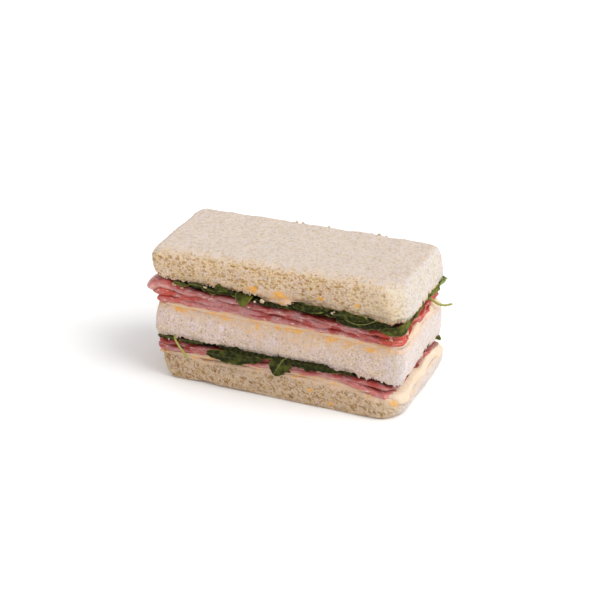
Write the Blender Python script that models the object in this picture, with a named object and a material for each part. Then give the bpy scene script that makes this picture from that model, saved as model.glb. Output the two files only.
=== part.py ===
"""Half of a crustless triple-decker club sandwich.

Three slices of bread (brown, white, brown) hold two fillings of folded ham and
rocket on thin spread. +X runs along the long cut face, which looks along -Y, and
+Z is up. The origin is the middle of the flat underside. Sizes are in metres.
"""
import math
from typing import NamedTuple

import bmesh
import bpy
from mathutils import Vector

# Driving dimensions
MM = 0.001
LENGTH = 100.0 * MM          # a slice from end to end
DEPTH = 44.6 * MM            # a slice from the cut face to the back
HEIGHT = 54.3 * MM           # the whole stack
GAP = 0.3 * MM               # clearance between two layers
CROWN = 0.2 * MM             # fall of the top face towards its rim
CORNER_FALL = 0.5 * MM       # further fall of the top face at its corners
RIPPLE = 0.15 * MM           # waviness of every layer, up and down
RIPPLE_LENGTH = 43.0 * MM
RIPPLE_DEPTH = 37.0 * MM
RIPPLE_PHASES = (2.1, 1.3)   # turn of the wave from one layer to the next, along X and Y
RAGGED_LENGTH = 31.0 * MM    # waviness of every outline
RAGGED_DEPTH = 19.0 * MM
RAGGED_PHASES = (2.3, 1.7)
SAG_RADIUS = 19.0 * MM       # reach of the squashed front right corner
SHARP_ANGLE = math.radians(50.0)

# Where the block is divided before it is shaped, from -1 to 1
CUTS_X = (0.0, 0.25, 0.5, 0.72, 0.86, 0.95)
CUTS_Y = (0.0, 0.25, 0.5, 0.72, 0.88)

# Edge sections: how far in the side stands at each fraction of the thickness
SECTION_TOP_SLICE = ((0.0, 0.9), (0.12, 0.2), (0.45, 0.0), (0.78, 0.3), (0.93, 1.0), (1.0, 2.3))
SECTION_MIDDLE_SLICE = ((0.0, 1.0), (0.12, 0.3), (0.4, 0.0), (0.65, 0.1), (0.9, 0.6), (1.0, 1.3))
SECTION_BOTTOM_SLICE = ((0.0, 1.2), (0.1, 0.4), (0.35, 0.0), (0.65, 0.0), (0.9, 0.5), (1.0, 1.4))
SECTION_SHEET = ((0.0, 0.4), (0.5, 0.0), (1.0, 0.4))


class Layer(NamedTuple):
    """One layer of the stack; lengths in millimetres."""
    name: str
    colour: tuple                # linear RGB
    roughness: float
    thickness: tuple             # at the left end, the middle and the right end
    sag: float                   # change of thickness at the front right corner
    reach_low: tuple             # beyond the slice: left, right, front, back
    reach_high: tuple
    skew: float                  # the front stands out this much more at the right end
    front_right_radius: float    # corner of the outline
    radius: float                # the other three corners
    ragged: float                # unevenness of the outline
    section: tuple


BROWN = (0.50, 0.35, 0.21)
WHITE = (0.66, 0.54, 0.45)
CREAM = (0.68, 0.42, 0.22)
PINK = (0.36, 0.10, 0.085)
RED = (0.42, 0.08, 0.06)
GREEN = (0.07, 0.085, 0.02)

LAYERS = (
    Layer("bread_bottom", BROWN, 0.9, (10.9, 11.0, 10.9), -2.4,
          (-3.9, 0.9, 1.6, 1.4), (-1.0, 4.6, 1.5, 1.4), 2.0, 9.0, 4.0, 0.25, SECTION_BOTTOM_SLICE),
    Layer("spread_bottom", CREAM, 0.5, (1.1, 1.0, 0.9), 0.0,
          (-0.4, 3.0, 0.6, 0.8), (-0.4, 3.0, 0.6, 0.8), 1.6, 8.0, 4.0, 0.6, SECTION_SHEET),
    Layer("ham_lower_1", PINK, 0.4, (1.4, 1.2, 1.3), 0.0,
          (0.2, 1.2, 1.4, 0.6), (0.2, 1.2, 1.4, 0.6), 1.4, 6.0, 4.0, 0.7, SECTION_SHEET),
    Layer("ham_lower_2", RED, 0.4, (1.3, 1.2, 1.3), 0.0,
          (-0.4, 0.6, 0.6, 0.8), (-0.4, 0.6, 0.6, 0.8), 0.8, 5.0, 4.0, 0.8, SECTION_SHEET),
    Layer("greens_lower", GREEN, 0.6, (2.0, 1.5, 1.2), 0.0,
          (0.0, 1.2, 0.8, 1.2), (0.0, 1.2, 0.8, 1.2), 0.4, 5.0, 4.0, 1.3, SECTION_SHEET),
    Layer("bread_middle", WHITE, 0.9, (13.2, 12.8, 13.6), 0.0,
          (1.2, 2.0, 0.7, 0.6), (0.2, 3.0, 0.2, 0.8), 0.4, 3.0, 4.0, 0.25, SECTION_MIDDLE_SLICE),
    Layer("spread_middle", CREAM, 0.5, (0.9, 1.2, 1.0), 0.0,
          (-0.8, 1.8, 0.1, 0.2), (-0.8, 1.8, 0.1, 0.2), 0.0, 4.0, 4.0, 0.6, SECTION_SHEET),
    Layer("ham_upper_1", PINK, 0.4, (2.0, 1.5, 1.1), 0.0,
          (-0.6, 1.6, 0.5, 0.4), (-0.6, 1.6, 0.5, 0.4), 0.0, 4.0, 4.0, 0.8, SECTION_SHEET),
    Layer("ham_upper_2", RED, 0.4, (2.2, 1.6, 1.2), 0.0,
          (2.2, 1.0, 0.9, 0.8), (2.2, 1.0, 0.9, 0.8), 0.0, 4.0, 4.0, 0.9, SECTION_SHEET),
    Layer("ham_upper_3", PINK, 0.4, (2.0, 1.7, 1.2), 0.0,
          (4.2, 0.4, 0.6, 0.2), (4.2, 0.4, 0.6, 0.2), 0.0, 5.0, 4.0, 0.8, SECTION_SHEET),
    Layer("greens_upper", GREEN, 0.6, (2.4, 1.2, 3.1), 0.0,
          (-1.0, 1.0, 0.8, 1.4), (-1.0, 1.0, 0.8, 1.4), 0.0, 5.0, 4.0, 1.4, SECTION_SHEET),
    Layer("spread_top", CREAM, 0.5, (0.9, 2.7, 0.9), 0.0,
          (-0.8, 1.2, 0.1, 0.4), (-0.8, 1.2, 0.1, 0.4), 0.0, 8.0, 4.0, 0.6, SECTION_SHEET),
    Layer("bread_top", BROWN, 0.9, (10.4, 12.1, 13.5), 0.0,
          (1.3, 3.0, 0.4, 1.4), (2.3, 1.3, 0.6, 3.2), 0.0, 9.0, 4.4, 0.25, SECTION_TOP_SLICE),
)


def clear_scene():
    for item in list(bpy.data.objects):
        bpy.data.objects.remove(item)


def smooth_step(value):
    value = min(max(value, 0.0), 1.0)
    return value * value * (3.0 - 2.0 * value)


def along(stations, x):
    """A value given at the left end, the middle and the right end, joined smoothly."""
    left, middle, right = stations
    end = left if x < 0.0 else right
    return middle + (end - middle) * smooth_step(abs(x) / (LENGTH / 2.0))


def corner_sag(x, y):
    """1 at the front right corner, fading out around it."""
    distance = math.hypot(x - LENGTH / 2.0, y + DEPTH / 2.0)
    return math.exp(-(distance / SAG_RADIUS) ** 2)


def thickness(index, x, y):
    layer = LAYERS[index]
    wave = math.sin(math.tau * x / RIPPLE_LENGTH + RIPPLE_PHASES[0] * index)
    wave *= math.cos(math.tau * y / RIPPLE_DEPTH + RIPPLE_PHASES[1] * index)
    return MM * (along(layer.thickness, x) + layer.sag * corner_sag(x, y)) + RIPPLE * wave


def layer_bottom(index, x, y):
    return sum(thickness(below, x, y) + GAP for below in range(index))


def layer_top(index, x, y):
    if index == len(LAYERS) - 1:
        u, v = abs(x) / (LENGTH / 2.0), abs(y) / (DEPTH / 2.0)
        return HEIGHT - CROWN * max(u, v) ** 4 - CORNER_FALL * (u * v) ** 4
    return layer_bottom(index, x, y) + thickness(index, x, y)


def round_corner(x, y, layer):
    """Pull a point of the rectangular outline in, so that the corners are round."""
    front_right = x > 0.0 and y < 0.0
    radius = MM * (layer.front_right_radius if front_right else layer.radius)
    start_x = LENGTH / 2.0 - radius
    start_y = DEPTH / 2.0 - radius
    u = (abs(x) - start_x) / radius
    v = (abs(y) - start_y) / radius
    if u <= 0.0 or v <= 0.0:
        return x, y
    round_x = start_x + radius * u * math.sqrt(1.0 - v * v / 2.0)
    round_y = start_y + radius * v * math.sqrt(1.0 - u * u / 2.0)
    return math.copysign(round_x, x), math.copysign(round_y, y)


def side_reach(index, fraction, x, y):
    """How far the layer stands out past the slice, along X and along Y."""
    layer = LAYERS[index]
    left, right, front, back = (low + (high - low) * fraction
                                for low, high in zip(layer.reach_low, layer.reach_high))
    inset = dict(layer.section)[fraction]
    wave_x = layer.ragged * math.sin(math.tau * y / RAGGED_DEPTH + RAGGED_PHASES[1] * index)
    wave_y = layer.ragged * math.sin(math.tau * x / RAGGED_LENGTH + RAGGED_PHASES[0] * index)
    reach_x = (left if x < 0.0 else right) + wave_x - inset
    front += layer.skew * x / (LENGTH / 2.0)
    reach_y = (front if y < 0.0 else back) + wave_y - inset
    return MM * reach_x, MM * reach_y


def shaped_point(index, s, t, fraction):
    """Where a point of the divided block lies in the finished layer."""
    x, y = round_corner(s * LENGTH / 2.0, t * DEPTH / 2.0, LAYERS[index])
    reach_x, reach_y = side_reach(index, fraction, x, y)
    x *= 1.0 + reach_x / (LENGTH / 2.0)
    y *= 1.0 + reach_y / (DEPTH / 2.0)
    low = layer_bottom(index, x, y)
    high = layer_top(index, x, y)
    return Vector((x, y, low + (high - low) * fraction))


def divided_block(fractions):
    """A 2 x 2 x 2 cube, cut where the outline and the section need points."""
    block = bmesh.new()
    bmesh.ops.create_cube(block, size=2.0)
    cuts_x = sorted({side * cut for cut in CUTS_X for side in (-1.0, 1.0)})
    cuts_y = sorted({side * cut for cut in CUTS_Y for side in (-1.0, 1.0)})
    cuts_z = [2.0 * fraction - 1.0 for fraction in fractions[1:-1]]
    for axis, cuts in enumerate((cuts_x, cuts_y, cuts_z)):
        normal = Vector((0.0, 0.0, 0.0))
        normal[axis] = 1.0
        for cut in cuts:
            everything = block.verts[:] + block.edges[:] + block.faces[:]
            bmesh.ops.bisect_plane(block, geom=everything, plane_co=normal * cut, plane_no=normal)
    return block


def food_material(layer):
    material = bpy.data.materials.new(layer.name)
    material.use_nodes = True
    shader = material.node_tree.nodes["Principled BSDF"]
    shader.inputs["Base Color"].default_value = (*layer.colour, 1.0)
    shader.inputs["Roughness"].default_value = layer.roughness
    shader.inputs["Metallic"].default_value = 0.0
    return material


def build_layer(index, collection):
    layer = LAYERS[index]
    fractions = [fraction for fraction, inset in layer.section]
    block = divided_block(fractions)
    for vertex in block.verts:
        s, t, height = vertex.co
        fraction = min(fractions, key=lambda value: abs(2.0 * value - 1.0 - height))
        vertex.co = shaped_point(index, s, t, fraction)
    bmesh.ops.recalc_face_normals(block, faces=block.faces[:])
    mesh = bpy.data.meshes.new(layer.name)
    block.to_mesh(mesh)
    block.free()
    mesh.materials.append(food_material(layer))
    mesh.shade_smooth()
    mesh.set_sharp_from_angle(angle=SHARP_ANGLE)
    collection.objects.link(bpy.data.objects.new(layer.name, mesh))


def main():
    clear_scene()
    sandwich = bpy.data.collections.new("club_sandwich")
    bpy.context.scene.collection.children.link(sandwich)
    for index in range(len(LAYERS)):
        build_layer(index, sandwich)


main()
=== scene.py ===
"""The looks of the club sandwich: porous bread, marbled ham, rocket and spread.

+X runs along the cut face, -Y looks out of it, +Z is up; everything is in metres.
"""

import math
from itertools import product
from typing import NamedTuple

import bpy
import numpy as np
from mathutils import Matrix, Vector
from mathutils.bvhtree import BVHTree


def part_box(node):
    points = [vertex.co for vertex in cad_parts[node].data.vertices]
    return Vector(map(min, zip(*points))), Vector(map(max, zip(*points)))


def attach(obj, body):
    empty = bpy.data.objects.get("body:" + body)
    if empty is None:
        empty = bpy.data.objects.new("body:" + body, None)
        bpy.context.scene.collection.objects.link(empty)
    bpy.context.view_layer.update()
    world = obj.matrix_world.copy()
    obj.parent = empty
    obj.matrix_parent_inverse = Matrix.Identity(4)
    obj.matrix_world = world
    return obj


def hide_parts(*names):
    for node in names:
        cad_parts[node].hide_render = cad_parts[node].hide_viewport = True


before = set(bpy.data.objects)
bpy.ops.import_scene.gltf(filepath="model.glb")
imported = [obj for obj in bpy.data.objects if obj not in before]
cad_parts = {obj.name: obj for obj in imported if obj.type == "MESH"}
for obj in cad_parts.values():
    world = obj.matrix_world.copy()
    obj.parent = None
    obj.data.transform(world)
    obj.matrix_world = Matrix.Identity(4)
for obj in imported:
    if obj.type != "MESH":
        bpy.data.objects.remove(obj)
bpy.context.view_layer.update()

MM = 0.001
SEED = 7

# Camera
LOOK_AT = Vector((1.5, 0.0, 32.0)) * MM
AZIMUTH = math.radians(22.06)
ELEVATION = math.radians(24.73)
DISTANCE = 883.8 * MM
FIELD_OF_VIEW = math.radians(15.0)


# ---- repeatable noise

# Large odd numbers that scatter the bits of a cell's place
SCATTER = tuple(np.uint32(number) for number in (374761393, 668265263, 2246822519, 3266489917))


def hash01(cells, seed):
    """Random numbers in [0, 1), one for each integer cell."""
    c = cells.astype(np.int64).astype(np.uint32)
    h = c[..., 0] * SCATTER[0] + c[..., 1] * SCATTER[1]
    h = h + c[..., 2] * SCATTER[2] + np.uint32((seed * int(SCATTER[3])) & 0xFFFFFFFF)
    h = (h ^ (h >> np.uint32(15))) * SCATTER[2]
    h = (h ^ (h >> np.uint32(13))) * SCATTER[3]
    h = h ^ (h >> np.uint32(16))
    return h.astype(np.float64) / 2.0 ** 32


def chance(*numbers, seed):
    """One random number in [0, 1) for three whole numbers."""
    return hash01(np.array([numbers]), seed)[0]


def noise(points, size, seed):
    """Smooth random values from -1 to 1 that change over about one size."""
    scaled = points / size
    cell = np.floor(scaled)
    part = scaled - cell
    part = part * part * (3.0 - 2.0 * part)
    total = np.zeros(len(points))
    for corner in product((0, 1), repeat=3):
        corner = np.array(corner)
        weight = np.prod(np.where(corner, part, 1.0 - part), axis=1)
        total += weight * hash01(cell + corner, seed)
    return 2.0 * total - 1.0


def rough(points, size, seed, octaves=3):
    """Noise with finer noise on top."""
    total = np.zeros(len(points))
    for octave in range(octaves):
        total += noise(points, size * 0.5 ** octave, seed + 31 * octave) * 0.5 ** octave
    return total


def smooth_step(low, high, values):
    t = np.clip((values - low) / (high - low), 0.0, 1.0)
    return t * t * (3.0 - 2.0 * t)


def foam(points, size, seed):
    """The walls of a foam of uneven cells.

    Returns the distance to the nearest wall, 0 on it and about half a cell at most,
    in cell sizes, and a random number for the cell."""
    farthest = 9.0
    scaled = points / size
    cell = np.floor(scaled)
    first = np.full(len(points), farthest)
    second = np.full(len(points), farthest)
    own = np.zeros(len(points))
    for corner in product((-1, 0, 1), repeat=3):
        here = cell + np.array(corner)
        centre = here + np.stack([hash01(here, seed + k) for k in range(3)], axis=1)
        gap = np.linalg.norm(scaled - centre, axis=1) - 0.35 * hash01(here, seed + 3)
        closer = gap < first
        second = np.where(closer, first, np.minimum(second, gap))
        own = np.where(closer, hash01(here, seed + 4), own)
        first = np.minimum(first, gap)
    return (second - first) / 2.0, own


# ---- CAD solids as smooth slabs

def between(table, x, y, grid_x, grid_y):
    """A table over two rising grids, read at x and y."""
    u = np.interp(x, grid_x, np.arange(len(grid_x)))
    v = np.interp(y, grid_y, np.arange(len(grid_y)))
    i = np.minimum(u.astype(int), len(grid_x) - 2)
    j = np.minimum(v.astype(int), len(grid_y) - 2)
    a, b = u - i, v - j
    return ((table[i, j] * (1 - a) + table[i + 1, j] * a) * (1 - b)
            + (table[i, j + 1] * (1 - a) + table[i + 1, j + 1] * a) * b)


class Slab:
    """A CAD layer read as an outline, a lower and an upper surface.

    A point of the slab is (s, t, f): s and t run from -1 to 1 over the rounded
    oblong outline, f from 0 at the bottom to 1 at the top."""

    LEVELS = np.array((0.015, 0.06, 0.14, 0.28, 0.45, 0.62, 0.76, 0.86, 0.94, 0.985))
    ALL_LEVELS = np.concatenate([[0.0], LEVELS, [1.0]])
    STATIONS = 25
    HEIGHTS = (40, 20)
    INSET = 3.2 * MM            # of the grid of heights, where the rims no longer round off
    CLEAR = 0.01                # how far outside the solid the rays start
    HOLLOW = 8.0 * MM           # rays that go deeper than this have missed the side

    def __init__(self, node, radius, front_right_radius):
        self.low, self.high = (np.array(corner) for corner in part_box(node))
        self.centre = (self.low + self.high)[:2] / 2.0
        self.half = (self.high - self.low)[:2] / 2.0
        self.radius, self.front_right_radius = radius, front_right_radius
        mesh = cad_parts[node].data
        corners = [vertex.co.copy() for vertex in mesh.vertices]
        self.tree = BVHTree.FromPolygons(corners, [face.vertices[:] for face in mesh.polygons])
        self.read_heights()
        self.read_sides()

    def read_heights(self):
        """Lower and upper heights on a coarse grid, filled out past the outline."""
        count_x, count_y = self.HEIGHTS
        self.grid_x = np.linspace(self.low[0] + self.INSET, self.high[0] - self.INSET, count_x)
        self.grid_y = np.linspace(self.low[1] + self.INSET, self.high[1] - self.INSET, count_y)
        levels = np.full((2, count_x, count_y), np.nan)
        rays = ((self.low[2] - self.CLEAR, 1), (self.high[2] + self.CLEAR, -1))
        for i, j, k in product(range(count_x), range(count_y), range(2)):
            start, way = rays[k]
            origin = Vector((self.grid_x[i], self.grid_y[j], start))
            hit = self.tree.ray_cast(origin, Vector((0, 0, way)))[0]
            if hit is not None:
                levels[k, i, j] = hit.z
        for level in levels:
            while np.isnan(level).any():
                padded = np.pad(level, 1, constant_values=np.nan)
                around = np.stack([padded[1 + a:1 + a + count_x, 1 + b:1 + b + count_y]
                                   for a, b in product((-1, 0, 1), repeat=2)])
                known = ~np.isnan(around)
                mean = np.where(known, around, 0.0).sum(0) / np.maximum(known.sum(0), 1)
                level[:] = np.where(np.isnan(level) & known.any(0), mean, level)
        for _ in range(2):
            padded = np.pad(levels, ((0, 0), (1, 1), (1, 1)), mode="edge")
            levels = (2 * padded[:, 1:-1, 1:-1] + padded[:, 2:, 1:-1] + padded[:, :-2, 1:-1]
                      + padded[:, 1:-1, 2:] + padded[:, 1:-1, :-2]) / 6.0
        self.levels = levels

    def height(self, x, y, top):
        """The lower or the upper surface at x, y."""
        return between(self.levels[1 if top else 0], x, y, self.grid_x, self.grid_y)

    def read_sides(self):
        """How far each side stands out past the mean outline, by place and level."""
        self.sides = {}
        margin = self.front_right_radius + 1.0 * MM
        for axis, way in product((0, 1), (-1, 1)):
            along = 1 - axis
            start = self.centre[along] - self.half[along] + margin
            end = self.centre[along] + self.half[along] - margin
            stations = np.linspace(start, end, self.STATIONS)
            edge = self.centre[axis] + way * self.half[axis]
            inwards = Vector((0, 0, 0))
            inwards[axis] = -way
            reach = np.full((self.STATIONS, len(self.LEVELS)), np.nan)
            for i, station in enumerate(stations):
                rim = np.full((2, 1), station)
                rim[axis] = edge
                bottom, top = (self.height(*rim, upper)[0] for upper in (False, True))
                for k, level in enumerate(self.LEVELS):
                    origin = Vector((*rim[:, 0], bottom + (top - bottom) * level))
                    origin[axis] = edge + way * 2 * self.CLEAR
                    hit = self.tree.ray_cast(origin, inwards)[0]
                    if hit is not None:
                        reach[i, k] = way * (hit[axis] - edge)
                known = reach[i] > -self.HOLLOW
                if known.any():
                    reach[i] = np.interp(self.LEVELS, self.LEVELS[known], reach[i][known])
                else:
                    reach[i] = 0.0
            padded = np.pad(reach, ((2, 2), (0, 0)), mode="edge")
            reach = sum(padded[k:k + self.STATIONS] for k in range(5)) / 5.0
            low_end = 2.0 * reach[:, :1] - reach[:, 1:2]
            high_end = 2.0 * reach[:, -1:] - reach[:, -2:-1]
            self.sides[axis, way] = (stations, np.concatenate([low_end, reach, high_end], axis=1))

    def reach(self, axis, way, place, f):
        """How far one side stands out at a place along it and at f."""
        stations, reach = self.sides[axis, way]
        return between(reach, place, f, stations, self.ALL_LEVELS)

    def outline(self, s, t):
        """The mean outline's point for s and t, with round corners."""
        x, y = s * self.half[0], t * self.half[1]
        radius = np.where((s > 0) & (t < 0), self.front_right_radius, self.radius)
        u = np.clip((np.abs(x) - (self.half[0] - radius)) / radius, 0.0, 1.0)
        v = np.clip((np.abs(y) - (self.half[1] - radius)) / radius, 0.0, 1.0)
        in_corner = (u > 0) & (v > 0)
        round_x = self.half[0] - radius + radius * u * np.sqrt(1.0 - v * v / 2.0)
        round_y = self.half[1] - radius + radius * v * np.sqrt(1.0 - u * u / 2.0)
        return (np.where(in_corner, np.copysign(round_x, x), x),
                np.where(in_corner, np.copysign(round_y, y), y))

    def points(self, s, t, f, out=0.0):
        """Places in metres of (s, t, f), pushed out of the outline by `out`."""
        x, y = self.outline(s, t)
        place_x, place_y = x + self.centre[0], y + self.centre[1]
        reach_x = np.where(s < 0, self.reach(0, -1, place_y, f), self.reach(0, 1, place_y, f)) + out
        reach_y = np.where(t < 0, self.reach(1, -1, place_x, f), self.reach(1, 1, place_x, f)) + out
        x = x * (1.0 + reach_x / self.half[0]) + self.centre[0]
        y = y * (1.0 + reach_y / self.half[1]) + self.centre[1]
        bottom = self.height(x, y, False)
        top = self.height(x, y, True)
        return np.stack([x, y, bottom + (top - bottom) * f], axis=1)


# ---- meshes

def ring_quads(index):
    """The quads between rows of closed rings of points."""
    following = np.roll(index, -1, axis=1)
    return np.stack([index[:-1], following[:-1], following[1:], index[1:]], axis=-1).reshape(-1, 4).tolist()


def sheet_quads(index):
    """The quads between the rows and columns of a sheet of points."""
    quads = np.stack([index[:-1, :-1], index[1:, :-1], index[1:, 1:], index[:-1, 1:]], axis=-1)
    return quads.reshape(-1, 4)


def ring_places(slab, spacing):
    """s and t of points round the outline, about `spacing` apart."""
    count_x = int(2 * slab.half[0] / spacing)
    count_y = int(2 * slab.half[1] / spacing)
    u = np.linspace(-1, 1, count_x + 1)
    v = np.linspace(-1, 1, count_y + 1)
    s = np.concatenate([u[:-1], np.ones(count_y), u[:0:-1], -np.ones(count_y)])
    t = np.concatenate([-np.ones(count_x), v[:-1], np.ones(count_x), v[:0:-1]])
    return s, t, count_x, count_y


def slab_grid(slab, spacing, side_rows, inward, full_top=False):
    """Rows of s, t, f from under the rim, up the side and over it, with how far each
    point lies in from the rim, and the faces.

    `inward` lists how far the rows on the two flat faces go in from the rim. A full
    top is a grid over the whole face; otherwise one many-sided face closes it."""
    ring_s, ring_t, count_x, count_y = ring_places(slab, spacing)
    columns = len(ring_s)
    q = np.linspace(0.0, 1.0, side_rows)
    fractions = 0.65 * q + 0.35 * (0.5 - 0.5 * np.cos(np.pi * q))
    rows = [(distance, 0.0) for distance in reversed(inward)]
    rows += [(0.0, f) for f in fractions]
    if not full_top:
        rows += [(distance, 1.0) for distance in inward]
    table = np.concatenate([
        (ring_s * (1.0 - d / slab.half[0]), ring_t * (1.0 - d / slab.half[1]), np.full(columns, f),
         np.full(columns, d)) for d, f in rows], axis=1)
    index = np.arange(len(rows) * columns).reshape(len(rows), columns)
    faces = [ring_quads(index), [index[0][::-1].tolist()]]
    if not full_top:
        faces[1].append(index[-1].tolist())
        return *table, faces
    u = np.linspace(-1, 1, count_x + 1)[1:-1]
    v = np.linspace(-1, 1, count_y + 1)[1:-1]
    s, t = (grid.ravel() for grid in np.meshgrid(u, v, indexing="ij"))
    depth = np.minimum((1 - np.abs(s)) * slab.half[0], (1 - np.abs(t)) * slab.half[1])
    lattice = np.full((count_x + 1, count_y + 1), -1)
    lattice[1:-1, 1:-1] = index.size + np.arange(len(s)).reshape(count_x - 1, count_y - 1)
    rim = index[-1]
    lattice[:-1, 0] = rim[:count_x]
    lattice[-1, :-1] = rim[count_x:count_x + count_y]
    lattice[:0:-1, -1] = rim[count_x + count_y:2 * count_x + count_y]
    lattice[0, :0:-1] = rim[2 * count_x + count_y:]
    faces[0] += sheet_quads(lattice).tolist()
    return *np.concatenate([table, (s, t, np.ones(len(s)), depth)], axis=1), faces


def outward(points, quads):
    """Unit normals at the points of a mesh of quads."""
    quads = np.array(quads)
    corner = points[quads]
    face = np.cross(corner[:, 2] - corner[:, 0], corner[:, 3] - corner[:, 1])
    normals = np.zeros_like(points)
    for k in range(4):
        for axis in range(3):
            normals[:, axis] += np.bincount(quads[:, k], face[:, axis], len(points))
    return normals / np.maximum(np.linalg.norm(normals, axis=1, keepdims=True), 1e-12)


def add_piece(name, points, faces, material, nodes, marks):
    """A smooth-shaded mesh object that rides on the sandwich."""
    mesh = bpy.data.meshes.new(name)
    mesh.from_pydata(points.tolist(), [], faces)
    mesh.shade_smooth()
    for mark, values in marks.items():
        layer = mesh.attributes.new(mark, "FLOAT", "POINT")
        layer.data.foreach_set("value", np.asarray(values, np.float32))
    mesh.materials.append(material)
    piece = bpy.data.objects.new(name, mesh)
    bpy.context.scene.collection.objects.link(piece)
    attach(piece, "root")
    if nodes:
        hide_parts(*nodes)


# ---- materials

class Look:
    """A Principled material whose inputs are built from small node functions.

    Sizes are in millimetres."""

    COLOUR_A, COLOUR_B, COLOUR_OUT = 6, 7, 2        # a Mix node's sockets for colours

    def __init__(self, name):
        self.material = bpy.data.materials.new(name)
        self.material.use_nodes = True
        self.tree = self.material.node_tree
        self.shader = self.tree.nodes["Principled BSDF"]
        self.place = self.tree.nodes.new("ShaderNodeTexCoord").outputs["Object"]

    def node(self, kind, settings=(), **inputs):
        """A new node; an input is given by its name, or by _ and its number."""
        node = self.tree.nodes.new(kind)
        for key, value in dict(settings).items():
            setattr(node, key, value)
        for key, value in inputs.items():
            self.put(node.inputs[int(key[1:]) if key[0] == "_" else key], value)
        return node

    def put(self, socket, value):
        if isinstance(value, bpy.types.NodeSocket):
            self.tree.links.new(value, socket)
        elif isinstance(value, tuple) and len(value) == 3 and socket.type == "RGBA":
            socket.default_value = (*value, 1.0)
        else:
            socket.default_value = value

    def mark(self, name):
        """A value stored on the mesh."""
        return self.node("ShaderNodeAttribute", {"attribute_name": name}).outputs["Fac"]

    def vector(self, operation, **inputs):
        return self.node("ShaderNodeVectorMath", {"operation": operation}, **inputs).outputs[0]

    def noise(self, size, detail=3.0, stretch=(1.0, 1.0, 1.0)):
        place = self.vector("MULTIPLY", _0=self.place, _1=stretch)
        return self.node("ShaderNodeTexNoise", Vector=place, Scale=1.0 / (size * MM),
                         Detail=detail, Roughness=0.55).outputs["Fac"]

    def dots(self, size):
        """Distance to scattered points, in units of their spacing."""
        dots = self.node("ShaderNodeTexVoronoi", Vector=self.place, Scale=1.0 / (size * MM))
        return dots.outputs["Distance"]

    def steps(self, value, low, high, bottom=0.0, top=1.0):
        """The value, spread from low..high to bottom..top and clamped."""
        node = self.node("ShaderNodeMapRange", {"interpolation_type": "SMOOTHSTEP"}, Value=value)
        for socket, number in zip(("From Min", "From Max", "To Min", "To Max"), (low, high, bottom, top)):
            node.inputs[socket].default_value = number
        return node.outputs["Result"]

    def patches(self, size, low, high, bottom=0.0, top=1.0, detail=3.0, stretch=(1.0, 1.0, 1.0)):
        """Noise, spread from low..high to bottom..top."""
        return self.steps(self.noise(size, detail, stretch), low, high, bottom, top)

    def math(self, operation, first, second):
        return self.node("ShaderNodeMath", {"operation": operation}, _0=first, _1=second).outputs[0]

    def plus(self, first, second):
        return self.math("ADD", first, second)

    def times(self, first, second):
        return self.math("MULTIPLY", first, second)

    def mix(self, first, second, factor, blend="MIX"):
        node = self.node("ShaderNodeMix", {"data_type": "RGBA", "blend_type": blend})
        self.put(node.inputs["Factor"], factor)
        self.put(node.inputs[self.COLOUR_A], first)
        self.put(node.inputs[self.COLOUR_B], second)
        return node.outputs[self.COLOUR_OUT]

    def layered(self, colour, *layers):
        """The colour under others, each given with how far it covers."""
        for layer, factor in layers:
            colour = self.mix(colour, layer, factor)
        return colour

    def multiplied(self, colour, shade):
        return self.mix(colour, shade, 1.0, "MULTIPLY")

    def bump(self, height, distance):
        node = self.node("ShaderNodeBump", Height=height, Distance=distance * MM, Strength=1.0)
        self.put(self.shader.inputs["Normal"], node.outputs["Normal"])

    def set(self, **inputs):
        for key, value in inputs.items():
            self.put(self.shader.inputs[key.replace("_", " ")], value)

    def soft(self, weight, radius, scale):
        """Light that spreads under the surface."""
        self.set(Subsurface_Weight=weight, Subsurface_Radius=radius, Subsurface_Scale=scale * MM)


PLAIN = (1.0, 1.0, 1.0)


class Crumb(NamedTuple):
    """The colours and the grain of one kind of bread; lengths in millimetres."""
    name: str
    thread: tuple  # pale threads of the crumb
    crumb: tuple  # the cells between them: golden, darker with painted shade where deeper
    hollow_brown_and_painted_shade: tuple  # the deepest parts: browner, painted darker as shade
    face: tuple  # the pressed top face
    side: tuple  # and the pressed parts of the sides
    end: tuple  # the right end's tone against the top face's: a tint for the end in full sun, partly painted light
    spread: tuple  # spread on its edges: cream and orange
    web_size: float
    stretch: tuple  # of the web, along X, Y and Z
    warmth: float  # how far the tone swings between cool and warm
    grain: float  # how strong the fine dark grains are
    speckled: bool


def web_of(look, bread):
    """A net of threads: 0 on them and up to 1 in the cells between them."""
    size = bread.web_size * MM
    bend = look.node("ShaderNodeTexNoise", Vector=look.place, Scale=1.0 / (1.3 * size), Detail=1.0)
    bend = look.vector("SCALE", _0=bend.outputs["Color"], Scale=size)
    place = look.vector("MULTIPLY", _0=look.vector("ADD", _0=look.place, _1=bend), _1=bread.stretch)
    net = {"Vector": place, "Scale": 1.0 / size}
    edges = look.node("ShaderNodeTexVoronoi", {"feature": "DISTANCE_TO_EDGE"}, **net).outputs["Distance"]
    cells = look.node("ShaderNodeTexVoronoi", **net).outputs["Color"]
    return look.times(look.steps(edges, 0.06, 0.24), look.steps(cells, 0.25, 0.75, 0.15, 1.0))


def cut_crumb(look, bread, web):
    """Pale threads round golden cells, with painted shade that darkens the cells as they deepen and the
    hollows most, and lighter flecks on the threads that are partly painted glints.
    """
    depth = look.plus(look.times(look.mark("pit"), 0.8), look.times(web, 0.5))
    dull = tuple(part * share for part, share in zip(bread.thread, (0.93, 0.89, 0.82)))
    # Lighter, bluer patches on the threads: partly pale flecks of crumb, partly painted glints
    pale_flecks_and_painted_glints = tuple(part * share for part, share in zip(bread.thread, (1.09, 1.13, 1.25)))
    return look.layered(
        dull, (pale_flecks_and_painted_glints, look.patches(0.55, 0.50, 0.66, detail=2.0)),
        (bread.crumb, look.steps(depth, 0.04, 0.48)), (bread.hollow_brown_and_painted_shade, look.steps(depth, 0.60, 1.15)))


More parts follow.
